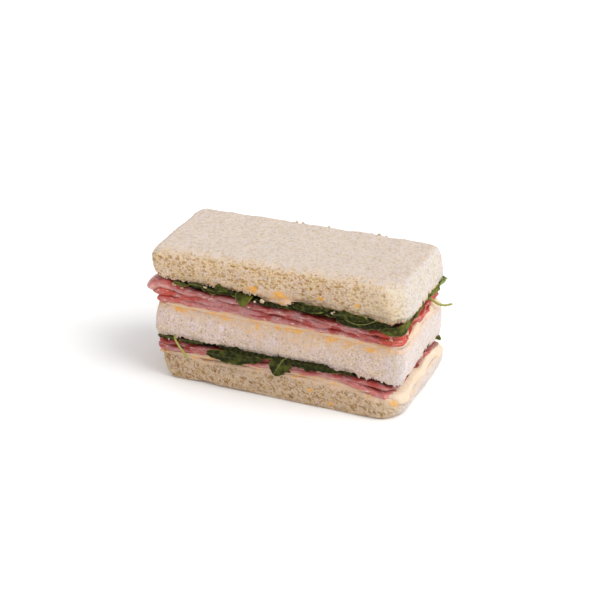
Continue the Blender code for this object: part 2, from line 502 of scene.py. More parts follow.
def pressed_face(look, bread, web):
    """The paler pressed faces, mottled and on brown bread speckled with bran."""
    mottle = look.plus(look.times(web, 0.28), look.noise(1.4, 4.0))
    mottle = look.mix((1.03, 1.03, 1.04), (0.82, 0.755, 0.62), look.steps(mottle, 0.40, 0.94))
    colour = look.multiplied(look.mix(bread.face, bread.side, look.mark("side")), mottle)
    if not bread.speckled:
        return colour
    specks = look.times(look.steps(look.dots(3.3), 0.06, 0.22, 0.6, 0.0), look.patches(5.0, 0.5, 0.6))
    return look.mix(colour, (0.70, 0.50, 0.26), specks)


def tone_swing(look, bread):
    """Cool and warm patches, weaker on the pressed faces."""
    tint = look.plus(look.noise(0.8, 2.0), look.noise(3.0, 3.0))
    cool, warm = (tuple(1.0 + bread.warmth * part for part in shade)
                  for shade in ((0.01, 0.01, 0.12), (0.0, -0.03, -0.18)))
    shade = look.mix(cool, warm, look.steps(tint, 0.72, 1.28))
    return look.mix(PLAIN, shade, look.steps(look.mark("pale"), 0.0, 1.0, 1.0, 0.4))


def smeared(look, bread, colour, smear):
    """Cream and orange spread over the crumb, thinner in its hollows."""
    orange = look.patches(1.7, 0.52, 0.66, 0.0, 0.75)
    blobs = look.times(look.steps(look.dots(4.2), 0.14, 0.30, 1.0, 0.0), look.patches(6.0, 0.4, 0.5))
    cream = look.mix(*bread.spread, look.math("MAXIMUM", orange, blobs))
    cream = look.mix(cream, bread.thread, look.patches(0.8, 0.50, 0.72, 0.0, 0.7, detail=2.0))
    return look.mix(colour, cream, look.times(smear, look.steps(look.mark("pit"), 0.1, 0.7, 0.95, 0.5)))


def bread_look(bread):
    look = Look(bread.name)
    web = web_of(look, bread)
    smear = look.mark("smear")
    colour = look.mix(cut_crumb(look, bread, web), pressed_face(look, bread, web), look.mark("pale"))
    # The sun-facing right end gets its own tint, partly painted light
    colour = look.multiplied(colour, look.mix(PLAIN, bread.end, look.mark("end")))
    colour = look.multiplied(colour, tone_swing(look, bread))
    colour = smeared(look, bread, colour, smear)
    rough_face = look.steps(look.mark("pale"), 0.0, 1.0, 1.0, 0.3)
    bare = look.times(rough_face, look.steps(smear, 0.3, 1.0, 1.0, 0.4))
    grains = look.times(look.patches(0.75, 0.54, 0.68, 0.0, bread.grain, detail=2.0), bare)
    colour = look.mix(colour, look.multiplied(colour, (0.74, 0.64, 0.50)), grains)
    gold = look.times(look.mark("gold"), look.patches(0.9, 0.32, 0.48, detail=2.0))
    colour = look.mix(colour, (0.79, 0.40, 0.09), gold)
    look.set(Base_Color=colour, Roughness=look.steps(smear, 0.2, 1.0, 0.9, 0.5), Specular_IOR_Level=0.3)
    look.soft(0.3, (1.0, 0.65, 0.4), 0.8)
    look.bump(look.plus(look.times(web, -0.6), look.noise(0.3, 3.0)), 0.12)
    return look.material


BROWN_BREAD = bread_look(Crumb(
    "brown_bread", thread=(0.69, 0.55, 0.415), crumb=(0.495, 0.315, 0.15), hollow_brown_and_painted_shade=(0.33, 0.165, 0.058),
    face=(0.59, 0.505, 0.445), side=(0.65, 0.52, 0.375), end=(0.98, 1.06, 1.13),
    spread=((0.66, 0.46, 0.31), (0.70, 0.35, 0.09)), web_size=1.0, stretch=(0.8, 0.8, 1.2), warmth=1.2,
    grain=0.35, speckled=True))
BOTTOM_BREAD = bread_look(Crumb(
    "brown_bread_below", thread=(0.59, 0.455, 0.335), crumb=(0.40, 0.25, 0.12), hollow_brown_and_painted_shade=(0.25, 0.125, 0.045),
    face=(0.62, 0.565, 0.52), side=(0.62, 0.49, 0.35), end=(1.0, 1.02, 1.08),
    spread=((0.66, 0.47, 0.33), (0.72, 0.40, 0.15)), web_size=1.0, stretch=(0.75, 0.75, 1.25), warmth=1.1,
    grain=0.35, speckled=True))
WHITE_BREAD = bread_look(Crumb(
    "white_bread", thread=(0.72, 0.605, 0.555), crumb=(0.62, 0.475, 0.39), hollow_brown_and_painted_shade=(0.38, 0.235, 0.16),
    face=(0.66, 0.60, 0.59), side=(0.64, 0.575, 0.57), end=(0.94, 0.94, 0.94),
    spread=((0.66, 0.47, 0.33), (0.76, 0.42, 0.13)), web_size=0.8, stretch=PLAIN, warmth=1.0,
    grain=0.8, speckled=False))


# ---- bread

def crumb_depth(points, cell, stretch, slant, seed):
    """How deep the cut surface goes into the crumb's open cells, from 0 to 1.

    The cells are stretched by the given shares and lean over by the slant."""
    bend = np.stack([noise(points, 1.1 * cell, seed + k) for k in (1, 2, 3)], axis=1)
    bent = points + 0.28 * cell * bend
    bent[:, 0] += slant * bent[:, 2]
    bent = bent / stretch
    wall, own = foam(bent, cell, seed)
    fine_wall, fine_own = foam(bent, 0.5 * cell, seed + 20)
    large = smooth_step(0.05, 0.26, wall) * smooth_step(0.1, 0.9, own)
    small = smooth_step(0.05, 0.28, fine_wall) * smooth_step(0.2, 0.9, fine_own)
    return np.clip(0.8 * large + 0.45 * small, 0.0, 1.0)


RIM_ROWS = tuple(d * MM for d in (0.35, 0.8, 1.4, 2.2, 3.4, 5.2, 8.0))


def across(points, stations):
    """A length in millimetres given at places along x, in metres at the points."""
    places, lengths = zip(*stations)
    return np.interp(points[:, 0], np.array(places) * MM, np.array(lengths) * MM)


def smear_on(points, top_edge, stations, seed):
    """How much spread covers the bread within the given heights of an edge."""
    height = across(points, stations)
    flat = points * (1.0, 1.0, 0.25)
    height = height * (1.0 + 0.55 * rough(flat, 5.0 * MM, seed, 3))
    distance = np.abs(points[:, 2] - top_edge)
    return (1.0 - smooth_step(0.35, 1.4, distance / np.maximum(height, 0.05 * MM))) * (height > 0.1 * MM)


BARE = ((0, 0.0),)  # no spread along an edge


class Slice(NamedTuple):
    """A slice of bread; lengths in millimetres."""
    node: str
    material: object
    slot: str
    seed: int
    cell: float  # size of the crumb's open cells
    deepest: float
    spacing: float  # of the mesh
    radius: float
    front_right_radius: float
    teeth: tuple  # unevenness of the lower and the upper edge
    over_gap: tuple  # how far these edges reach over the gaps beside them
    open_crumb: dict  # how open the crumb is on each side
    cover: float  # how much of the crumb's depth the spread fills
    cream_corner: tuple  # where the pale front right corner starts and is full
    gold: tuple  # golden blobs of spread on the front: place, height and size
    stretch: tuple = (1.0, 1.0, 1.0)  # the cells' shares along X, Y and Z
    slant: float = 0.0
    full_top: bool = False
    smear_low: tuple = BARE  # places along X, and heights of spread on the front
    smear_high: tuple = BARE


def add_teeth(points, bread, f, inside):
    """Makes the lower and the upper edge ragged."""
    seed = bread.seed
    flat = points * (1.0, 1.0, 0.0)
    teeth = rough(flat, 0.8 * MM, seed, 2) * (0.7 + 0.5 * noise(flat, 5.0 * MM, seed + 4))
    teeth += 0.4 * noise(flat, 2.5 * MM, seed + 9)
    gap, hanging = foam(flat, 0.95 * MM, seed + 11)
    teeth -= 1.3 * (hanging - 0.45) * smooth_step(0.0, 0.25, gap)
    rim = 1.0 - smooth_step(0.0, 2.4 * MM, inside)
    down, up = bread.over_gap
    points[:, 2] += (bread.teeth[0] * (teeth - 0.1) - down) * MM * (rim * (1.0 - smooth_step(0.0, 0.14, f)))
    if not bread.full_top:
        points[:, 2] += (bread.teeth[1] * (teeth + 0.1) + up) * MM * (rim * smooth_step(0.88, 1.0, f))


def golden_blobs(x, points, bread):
    """Where the golden blobs of spread are, from 0 to 1."""
    gold = np.zeros(len(points))
    uneven = 0.35 * rough(points, 1.2 * MM, bread.seed + 12, 2)
    for place, height, size in bread.gold:
        across_blob = (x - place * MM) / (0.75 * size * MM)
        up_blob = (points[:, 2] - height * MM) / (0.5 * size * MM)
        gold = np.maximum(gold, 1.0 - smooth_step(0.6, 1.2, np.hypot(across_blob, up_blob) + uneven))
    return gold


def bread_slice(bread):
    """Open crumb on the cut sides, smoother flat faces, ragged edges."""
    seed = bread.seed
    slab = Slab(bread.node, bread.radius * MM, bread.front_right_radius * MM)
    side_rows = int(14.0 / bread.spacing)
    s, t, f, inside, faces = slab_grid(slab, bread.spacing * MM, side_rows, RIM_ROWS, bread.full_top)
    points = slab.points(s, t, f)
    add_teeth(points, bread, f, inside)
    normals = outward(points, faces[0])
    x, y = points[:, 0], points[:, 1]
    up = normals[:, 2]
    facing = {"front": -normals[:, 1], "right": normals[:, 0], "left": -normals[:, 0], "back": normals[:, 1]}
    facing = {way: smooth_step(0.25, 0.75, part) for way, part in facing.items()}
    openness = np.clip(sum(bread.open_crumb[way] * part for way, part in facing.items()), 0.0, 1.0)
    openness += bread.open_crumb["top"] * smooth_step(0.6, 0.95, up)
    smear = np.maximum(smear_on(points, slab.height(x, y, False), bread.smear_low, seed + 5),
                       smear_on(points, slab.height(x, y, True), bread.smear_high, seed + 6))
    smear *= np.clip(facing["front"] + 0.6 * (facing["right"] + facing["left"] + facing["back"]), 0.0, 1.0)
    worn = smooth_step(9.0 * MM, 1.0 * MM, y - slab.low[1]) * smooth_step(0.6, 0.95, up)
    worn *= np.clip(0.5 + 0.6 * rough(points, 3.5 * MM, seed + 3), 0.0, 1.0)
    depth = crumb_depth(points, bread.cell * MM, bread.stretch, bread.slant, seed)
    depth = depth * (openness + 0.6 * worn) * (1.0 - bread.cover * smear)
    depth *= 1.0 - (not bread.full_top) * smooth_step(0.90, 0.99, f)
    swell = 0.22 * rough(points, 6.0 * MM, seed + 7, 2) + 0.07 * rough(points, 0.9 * MM, seed + 8, 2)
    swell = swell * smooth_step(0.0, 2.5 * MM, points[:, 2])
    swell += smear * (0.25 + 0.28 * rough(points, 1.5 * MM, seed + 10, 3))
    points = points + normals * ((swell - depth * bread.deepest) * MM)[:, None]
    if slab.low[2] < 1.0 * MM:      # the slice that rests on the floor
        points[:, 2] = np.maximum(points[:, 2], 0.0)
    start, full = bread.cream_corner
    corner = smooth_step(start * MM, full * MM, x) * (y < slab.centre[1]) * facing["front"]
    pale = np.clip(smooth_step(0.35, 0.75, up) + 0.8 * facing["right"] + 0.2 * facing["left"], 0.0, 1.0)
    pale = np.maximum(pale * (1.0 - 0.9 * worn), 0.75 * corner)
    side = np.clip(facing["front"] + facing["left"] + facing["back"], 0.0, 1.0)
    gold = golden_blobs(x, points, bread) * facing["front"]
    add_piece(
        bread.node + "_crumb", points, faces[0] + faces[1], bread.material, (bread.node,),
        {"pit": depth, "pale": pale, "side": side, "end": facing["right"], "smear": smear, "gold": gold})
    return slab


top_slab = bread_slice(Slice(
    "bread_top", BROWN_BREAD, "brown_bread", SEED, cell=1.5, stretch=(1.25, 1.2, 0.75), slant=0.3,
    deepest=0.55, spacing=0.325, radius=3.2, front_right_radius=9.0, full_top=True, teeth=(1.5, 0.0),
    over_gap=(0.35, 0.0), open_crumb={"front": 1.0, "right": 0.3, "left": 0.8, "back": 0.9, "top": 0.15},
    smear_low=((-50, 0.0), (-32, 0.4), (-24, 1.8), (-5, 2.4), (3, 3.4), (12, 2.0), (20, 1.0), (40, 1.2),
               (50, 0.6)),
    cover=0.65, cream_corner=(24, 46),
    gold=((-8.6, 44.2, 3.2), (2.4, 44.0, 3.4), (5.0, 42.6, 2.4), (18.7, 45.2, 2.0), (33.5, 44.6, 1.6))))
middle_slab = bread_slice(Slice(
    "bread_middle", WHITE_BREAD, "white_bread", SEED + 100, cell=1.1, deepest=0.4, spacing=0.26, radius=2.6,
    front_right_radius=3.5, teeth=(1.35, 0.15), over_gap=(0.2, 0.5),
    open_crumb={"front": 0.85, "right": 0.3, "left": 0.6, "back": 0.7, "top": 0.0},
    smear_high=((-50, 2.2), (-38, 3.2), (-25, 3.2), (-5, 5.0), (10, 5.8), (25, 5.0), (42, 3.0), (52, 1.6)),
    cover=0.15, cream_corner=(42, 52),
    gold=((-39.3, 31.2, 4.0), (-27.5, 31.4, 3.2), (-20.5, 30.6, 3.4), (-7.0, 30.8, 2.4), (1.2, 30.4, 2.8),
          (5.6, 30.0, 2.6), (9.6, 30.6, 3.4), (23.4, 29.6, 4.0), (30.5, 29.5, 3.0), (39.2, 27.4, 2.2))))
bread_slice(Slice(
    "bread_bottom", BOTTOM_BREAD, "brown_bread", SEED + 200, cell=1.5, stretch=(0.75, 1.0, 1.3), slant=0.7,
    deepest=0.52, spacing=0.26, radius=3.6, front_right_radius=9.0, teeth=(0.0, 0.2), over_gap=(0.0, 0.5),
    open_crumb={"front": 1.0, "right": 0.3, "left": 0.8, "back": 0.9, "top": 0.0},
    smear_high=((-50, 1.6), (-42, 0.6), (-32, 1.0), (-15, 0.6), (0, 1.0), (12, 1.2), (30, 1.2), (44, 1.8),
                (52, 1.4)),
    cover=0.3, cream_corner=(41, 50),
    gold=((-34.2, 11.6, 3.0), (-29.1, 12.4, 2.4), (2.4, 12.2, 2.6), (9.4, 11.8, 2.0), (15.6, 7.0, 1.6),
          (24.2, 2.7, 1.4), (49.3, 7.5, 2.2))))


# ---- ham, spread and the greens' core

LEVEL = ((0, 0.0),)  # no shift along an edge


def soft_layer(name, node, material, slot, seed, ends, wave, lift, over_gap, lumps, tuck, spacing=0.4,
               side_rows=12, tone=(0.5, 0.5), front=LEVEL, top=LEVEL, bottom=LEVEL, warm=LEVEL,
               paler=LEVEL, foot=0.0):
    """A thin layer: a wavy rim on the CAD slab, closed over the hidden middle.

    `front` lists how far the front stands out at places along x, and `ends` how far
    the left end, the right end and the back do. Wave and lift are the rim's
    unevenness outwards and upwards, over_gap is how far it spreads over the gaps
    beside it, lumps is the depth of its bulges, and tuck is how far its lower and
    upper edges go back in; `top` and `bottom` shift these edges up at places along
    x, and `foot` is how far the right end's lower edge spreads out. Tone is stored
    at the lower and the upper edge, more of it where `paler` says, and `warm` along x."""
    slab = Slab(node, 4.0 * MM, 5.0 * MM)
    s, t, f, inside, faces = slab_grid(slab, spacing * MM, side_rows, RIM_ROWS)
    x, y = slab.outline(s, t)
    flat = np.stack([x, y, np.zeros_like(x)], axis=1)
    rim = 1.0 - smooth_step(0.0, 6.0 * MM, inside)
    left, right, back = (smooth_step(0.9, 1.0, part) for part in (-s, s, t))
    edge = across(flat + (slab.centre[0], 0.0, 0.0), front)
    for part, end in zip((left, right, back), ends):
        edge = edge * (1.0 - part) + end * MM * part
    edge = edge + wave * MM * (rough(flat, 9.0 * MM, seed, 3) + 0.3 * rough(flat, 1.8 * MM, seed + 1, 2))
    swing = 2.0 * f - 1.0
    edge = edge - tuck * MM * np.abs(swing) ** 3 * (1.0 + left) + foot * MM * (1.0 - f) ** 2 * right
    points = slab.points(s, t, f, edge * rim)
    spread = 0.7 + 0.3 * smooth_step(-0.6, 0.6, rough(flat, 4.0 * MM, seed + 4, 2))
    rise = lift * MM * (rough(flat, 9.0 * MM, seed + 2, 2) + 0.4 * noise(flat, 3.0 * MM, seed + 3))
    rise += over_gap * MM * spread * np.sign(swing) * swing ** 2
    rise += across(points, top) * f + across(points, bottom) * (1.0 - f)
    points[:, 2] += rim * rise
    normals = outward(points, faces[0])
    bulges = rough(points * (0.5, 0.5, 1.1), 3.4 * MM, seed + 5, 2)
    bulges += 0.25 * rough(points, 1.2 * MM, seed + 6, 2)
    points = points + normals * (lumps * MM * bulges * rim)[:, None]
    paleness = across(points, paler) / MM
    # Painted shade: a mark for the creases along the rim's lower and upper edges, where the layers meet
    painted_crease_shade = rim * np.abs(swing) ** 3 * smooth_step(-0.3, 0.7, rough(flat, 6.0 * MM, seed + 7, 2))
    add_piece(name, points, faces[0] + faces[1], material, (node,),
              {"painted_crease_shade": painted_crease_shade * (1.0 - 0.7 * np.minimum(paleness, 1.0)),
               "tone": tone[0] + (tone[1] - tone[0]) * f + paleness, "warm": across(points, warm) / MM})
    return slab


def ham_look():
    """Cured meat: deep red where it is shaded and thick, pink and pale at thin wet edges."""
    look = Look("ham_meat")
    deep_red = (0.24, 0.012, 0.008)
    cloud = look.noise(3.6, 3.0, (0.55, 0.55, 1.1))
    streak = look.noise(1.8, 2.0, (0.45, 0.45, 1.3))
    value = look.plus(look.plus(look.mark("tone"), look.times(cloud, 1.3)), look.times(streak, 0.7))
    # Painted sheen: greyish-pink patches that paint a reflection of the white sky on the wet meat
    painted_sheen = look.patches(3.0, 0.44, 0.60, 0.0, 0.7, 2.0, (0.6, 0.6, 1.2))
    warm = look.times(look.mark("warm"), look.patches(2.4, 0.36, 0.56, 0.25, 1.0, 3.0, (0.5, 0.5, 1.2)))
    spots = look.times(look.steps(look.dots(1.6), 0.12, 0.32, 1.0, 0.0), look.patches(3.0, 0.52, 0.62))
    fat = look.math("MAXIMUM", spots, look.patches(1.1, 0.60, 0.68, stretch=(0.5, 0.5, 1.3)))
    colour = look.layered(
        deep_red, ((0.38, 0.055, 0.042), look.steps(value, 1.0, 1.35)),
        ((0.47, 0.15, 0.135), look.steps(value, 1.35, 1.65)),
        ((0.66, 0.37, 0.32), look.steps(value, 1.7, 2.0)),
        ((0.45, 0.225, 0.225), painted_sheen), ((0.52, 0.060, 0.030), warm),
        # Painted shade: deep red in the creases between the plies
        ((0.70, 0.50, 0.45), look.times(fat, 0.65)), (deep_red, look.times(look.mark("painted_crease_shade"), 0.8)))
    look.set(Base_Color=colour, Roughness=look.steps(streak, 0.3, 0.7, 0.25, 0.5), Specular_IOR_Level=0.4)
    look.soft(0.35, (1.0, 0.35, 0.25), 1.2)
    look.bump(look.noise(1.6, 4.0, (0.6, 0.6, 1.2)), 0.18)
    return look.material


def spread_look():
    look = Look("spread_cream")
    colour = look.layered(
        (0.66, 0.46, 0.32), ((0.74, 0.37, 0.11), look.patches(2.0, 0.48, 0.64)),
        ((0.74, 0.62, 0.50), look.patches(1.0, 0.58, 0.75, 0.0, 0.6, 2.0)),
        ((0.69, 0.58, 0.45), look.steps(look.mark("tone"), 0.5, 1.5, 0.0, 0.85)))
    look.set(Base_Color=colour, Roughness=0.5, Specular_IOR_Level=0.4)
    look.soft(0.25, (1.0, 0.6, 0.35), 1.0)
    look.bump(look.noise(0.6, 3.0), 0.15)
    return look.material


# The greens' hidden middle, near black: painted shade for the dark gaps between the leaves
def painted_shade_core_look():
    look = Look("greens_core_painted_shade")
    colour = look.mix((0.014, 0.010, 0.004), (0.035, 0.034, 0.008), look.noise(1.5))
    look.set(Base_Color=colour, Roughness=0.8, Specular_IOR_Level=0.1)
    look.bump(look.noise(0.8), 0.4)
    return look.material


HAM, SPREAD, PAINTED_SHADE_CORE = ham_look(), spread_look(), painted_shade_core_look()
RIGHT_WARM = ((-48, 0.35), (-42, 0.0), (34, 0.0), (44, 1.0))
LEFT_WARM = ((-42, 0.9), (-30, 0.0), (34, 0.0), (44, 0.8), (60, 1.0))
HAM_LAYERS = {
    "ham_lower_1": dict(
        ends=(-0.3, -0.6, 0.0), wave=0.9, tone=(0.95, 0.60), front=((36, 0.0), (46, 0.7), (60, 0.5)),
        top=((40, 0.0), (48, -0.6), (60, 0.0)), bottom=((36, 0.0), (46, -1.6), (50, -2.0), (60, 0.0)),
        warm=((-60, 0.0), (60, 0.3)), paler=((-60, -0.3), (-25, -0.2), (-5, 0.0))),
    "ham_lower_2": dict(
        ends=(0.3, -0.4, 0.0), wave=0.9, tone=(0.65, 0.15), front=((30, 0.0), (46, 0.6), (60, 0.3))),
    "ham_upper_1": dict(ends=(0.0, -0.6, 0.0), wave=0.7, tone=(0.75, 0.35), warm=LEFT_WARM),
    "ham_upper_2": dict(
        ends=(-0.8, -0.3, 0.0), wave=1.0, tone=(0.20, 0.60), warm=LEFT_WARM,
        top=((-57, -0.8), (-50, 0.0)), bottom=((-57, -1.2), (-50, 0.0))),
    "ham_upper_3": dict(
        ends=(1.0, 0.2, 0.0), wave=0.8, tuck=0.4, tone=(0.85, 0.25), warm=RIGHT_WARM,
        front=((-60, 0.8), (-48, 0.4), (-40, -0.2), (60, 0.0)),
        top=((-57, -3.0), (-54, -1.2), (-51, 0.6), (-48, 1.6), (-44, 1.4), (-38, 0.2), (60, 0.0)),
        bottom=((-57, -1.9), (-53, -0.9), (-48, 0.0)),
        # Painted light: the top of the fold that hangs out at the left end is made paler
        paler=((-57, 0.7), (-50, 0.55), (-45, 0.2), (-40, 0.0))),
}
for number, (node, shape) in enumerate(HAM_LAYERS.items()):
    shape = dict(lift=0.55, over_gap=0.5, lumps=0.2, tuck=0.3) | shape
    soft_layer(node + "_slice", node, HAM, "ham", SEED + 300 + 10 * number, **shape)
SPREAD_LAYERS = {
    "spread_bottom": dict(
        ends=(-0.3, -0.3, 0.0), over_gap=1.7, tuck=0.5, foot=1.5, front=((-60, -0.2), (-20, 0.0), (0, 0.1)),
        paler=((42, 0.0), (50, 0.8), (60, 1.0))),
    "spread_middle": dict(
        ends=(-0.2, -0.1, 0.0), over_gap=1.5, tuck=0.7, front=((-60, 0.0), (60, 0.1)),
        paler=((42, 0.0), (50, 0.6), (60, 0.7))),
    "spread_top": dict(
        ends=(-4.0, -4.0, -2.0), wave=0.7, lift=0.4, over_gap=0.8, lumps=0.6, side_rows=12, tuck=0.8,
        front=((-60, -4.0), (-9, -3.6), (-5, -0.8), (0, 0.4), (6, 0.4), (10, -0.2), (14, -2.4), (18, -3.6),
               (60, -4.0))),
}
for number, (node, shape) in enumerate(SPREAD_LAYERS.items()):
    shape = dict(wave=0.25, lift=0.05, lumps=0.12, spacing=0.5, side_rows=10) | shape
    soft_layer(node + "_layer", node, SPREAD, "spread", SEED + 400 + 10 * number, **shape)
# Near-black cores inside the greens: painted shade between the leaves
lower_core, upper_core = (
    soft_layer(node + "_core", node, PAINTED_SHADE_CORE, "greens", SEED + 500 + 10 * number, ends=(-6.0, -2.8, -2.4),
               front=((-60, -7.0), (-46, -6.0), (-38, -3.2), (-25, -2.6), (60, -2.4)), wave=0.9, lift=0.1,
               over_gap=0.5, lumps=0.3, spacing=0.8, side_rows=6, tuck=0.0)
    for number, node in enumerate(("greens_lower", "greens_upper")))


# ---- leaves

class Pile:
    """Many small closed shapes that become one mesh."""

    def __init__(self):
        self.points, self.faces, self.marks, self.count = [], [], {}, 0

    def add(self, points, faces, **marks):
        self.faces += [[index + self.count for index in face] for face in faces]
        self.points.append(points)
        self.count += len(points)
        for mark, values in marks.items():
            self.marks.setdefault(mark, []).append(np.broadcast_to(values, len(points)))

    def piece(self, name, material, slot, nodes=()):
        marks = {mark: np.concatenate(values) for mark, values in self.marks.items()}
        add_piece(name, np.concatenate(self.points), self.faces, material, nodes, marks)


def shell_of(grid, thickness):
    """A closed thin shell round a sheet of points (rows, columns, 3)."""
    rows, columns = grid.shape[:2]
    normal = np.cross(np.gradient(grid, axis=0), np.gradient(grid, axis=1))
    normal /= np.maximum(np.linalg.norm(normal, axis=2, keepdims=True), 1e-12)
    points = np.concatenate([(grid + normal * thickness / 2).reshape(-1, 3),
                             (grid - normal * thickness / 2).reshape(-1, 3)])
    index = np.arange(rows * columns).reshape(rows, columns)
    upper = sheet_quads(index)
    lower = upper[:, ::-1] + rows * columns
    rim = np.concatenate([index[0, :-1], index[:-1, -1], index[-1, :0:-1], index[:0:-1, 0]])
    following = np.roll(rim, -1)
    edge = np.stack([rim, following, following + rows * columns, rim + rows * columns], -1)
    return points, upper.tolist() + lower.tolist() + edge.tolist()


class Rim:
    """The edge of a filling, by the distance along it from the front left corner."""

    def __init__(self, slab):
        self.slab = slab
        self.leaves = Pile()
        s, t, count_x, count_y = ring_places(slab, 0.4 * MM)
        edge = slab.points(s, t, np.full(len(s), 0.5))
        lengths = 2 * slab.half[0] / count_x, 2 * slab.half[1] / count_y
        steps = np.concatenate([np.full(count_x, lengths[0]), np.full(count_y, lengths[1])] * 2)
        self.total = steps.sum()
        self.place = np.concatenate([[0.0], np.cumsum(steps)])
        tangent = np.roll(edge, -6, axis=0) - np.roll(edge, 6, axis=0)
        normal = np.stack([tangent[:, 1], -tangent[:, 0]], axis=1)
        normal /= np.linalg.norm(normal, axis=1, keepdims=True)
        table = np.concatenate([edge, normal], axis=1)
        self.table = np.concatenate([table, table[:1]])

    def distance(self, side, place):
        """The distance along the rim of a place on a side, both in metres."""
        cx, cy = self.slab.centre
        hx, hy = self.slab.half
        return {"front": place - (cx - hx), "right": 2 * hx + place - (cy - hy),
                "back": 2 * hx + 2 * hy + (cx + hx) - place,
                "left": 4 * hx + 2 * hy + (cy + hy) - place}[side]

    def at(self, distance):
        """Edge points and outward directions."""
        distance = np.mod(distance, self.total)
        columns = [np.interp(distance, self.place, self.table[:, k]) for k in range(5)]
        return np.stack(columns[:3], axis=-1), np.stack(columns[3:], axis=-1)


def over_the_edge(reach, hang_angle, bend):
    """Outward and upward places along a leaf that lies flat and then hangs, and its slope.

    `reach` is the distance along the leaf from the edge; it turns down by
    hang_angle within `bend`."""
    step = 0.1
    line = np.arange(-30.0, 30.0, step) * MM
    angle = -hang_angle * smooth_step(0.0, bend, line)
    start = np.searchsorted(line, 0.0)
    routes = [np.cumsum(part(angle)) * step * MM for part in (np.cos, np.sin)]
    outs, ups = (np.interp(reach, line, route - route[start]) for route in routes)
    return outs, ups, np.interp(reach, line, angle)


class Leaf(NamedTuple):
    """A rocket leaf. Lengths are in millimetres and angles in degrees."""
    place: float  # of its stalk end, along the side
    inset: float  # how far outside the edge the stalk end lies
    heading: float  # 0 runs along the side and 90 points straight out
    length: float
    width: float
    hang: float  # how steeply it hangs over the edge
    lobes: float  # depth of the notches in its outline
    ruffle: float
    lift: float
    tint: float
    seed: int
    ribbed: float = 0.3
    out: float = 0.0
    frill: float = 1.0
    bend: float = 1.5


# Millimetres: steps of the mesh along and across, its thickness, and the pattern's sizes
LEAF_STEPS, LEAF_THICKNESS = (0.4, 0.36), 0.3
NOTCH_GAP, VEIN_GAP, RIB_WIDTH = 6.5, 2.4, 0.28


def add_leaf(rim, side, leaf):
    """Adds a leaf that lies in a filling and hangs out of it."""
    rows = max(int(leaf.length / LEAF_STEPS[0]), 8)
    columns = max(int(leaf.width / LEAF_STEPS[1]), 7)
    u = np.linspace(0.0, 1.0, rows)[:, None] * np.ones(columns)
    v = np.ones(rows)[:, None] * np.linspace(-1.0, 1.0, columns)
    along = u * leaf.length
    waves = np.stack([along, v * 3.0 + 17.0 * leaf.seed, np.full_like(u, leaf.seed)], axis=-1).reshape(-1, 3)

    def flutter(size, shift, stretch=(1.0, 1.0, 1.0)):
        return noise(waves * stretch, size, leaf.seed + shift).reshape(u.shape)

    outline = np.sin(np.pi * np.clip(0.03 + 0.95 * u, 0.0, 1.0) ** 0.85) ** 0.7
    notch = 0.5 + 0.5 * np.cos(2.0 * np.pi * (along / NOTCH_GAP + 0.37 * leaf.seed + 0.2 * np.sign(v)))
    outline = outline * (1.0 - leaf.lobes * notch * (0.6 + 0.4 * flutter(4.0, 0)))
    outline = outline * (1.0 + 0.20 * leaf.frill * flutter(1.6, 1) + 0.24 * leaf.frill * flutter(0.8, 5))
    sweep = 0.12 * leaf.length * np.sin(np.pi * u) * (0.5 - chance(leaf.seed, 3, 5, seed=2))
    half_way = v * outline * leaf.width / 2.0
    sideways = half_way + sweep
    turn = math.radians(leaf.heading)
    place = leaf.place + along * math.cos(turn) - sideways * math.sin(turn)
    reach = leaf.inset + along * math.sin(turn) + sideways * math.cos(turn)
    relief = leaf.ruffle * flutter(3.2, 2, (1.0, 1.2, 1.0)) * (0.3 + 0.7 * np.abs(v))
    relief += (0.3 + 0.5 * leaf.frill) * leaf.ruffle * flutter(1.4, 3, (1.0, 2.0, 1.0)) * v * v
    outs, ups, angle = over_the_edge(reach * MM, math.radians(leaf.hang), leaf.bend * MM)
    outs = outs - np.sin(angle) * relief * MM + leaf.out * MM
    ups = ups + np.cos(angle) * relief * MM + leaf.lift * MM
    sign = 1.0 if side in ("front", "right") else -1.0
    edge, way = rim.at(rim.distance(side, leaf.place * MM) + sign * (place - leaf.place) * MM)
    grid = edge.copy()
    grid[..., :2] += way * outs[..., None]
    grid[..., 2] += ups
    points, faces = shell_of(grid, LEAF_THICKNESS * MM)
    rib = leaf.ribbed * np.exp(-half_way ** 2 / RIB_WIDTH ** 2) * (1.0 - 0.7 * u)
    veins = 0.5 + 0.5 * np.cos(2 * np.pi * (along - 0.9 * np.abs(half_way)) / VEIN_GAP)
    veins = np.clip((veins - 0.82) / 0.18, 0.0, 1.0) * np.exp(-np.abs(half_way) / 3.0)
    # Painted highlights along the leaf's edges
    border = smooth_step(0.80, 1.0, np.abs(v)) * smooth_step(-0.3, 0.5, flutter(2.5, 4))
    rib, veins, border = (np.tile(values.ravel(), 2) for values in (rib, veins, border))
    rim.leaves.add(points, faces, rib=rib, vein=veins, tint=leaf.tint, border=border)


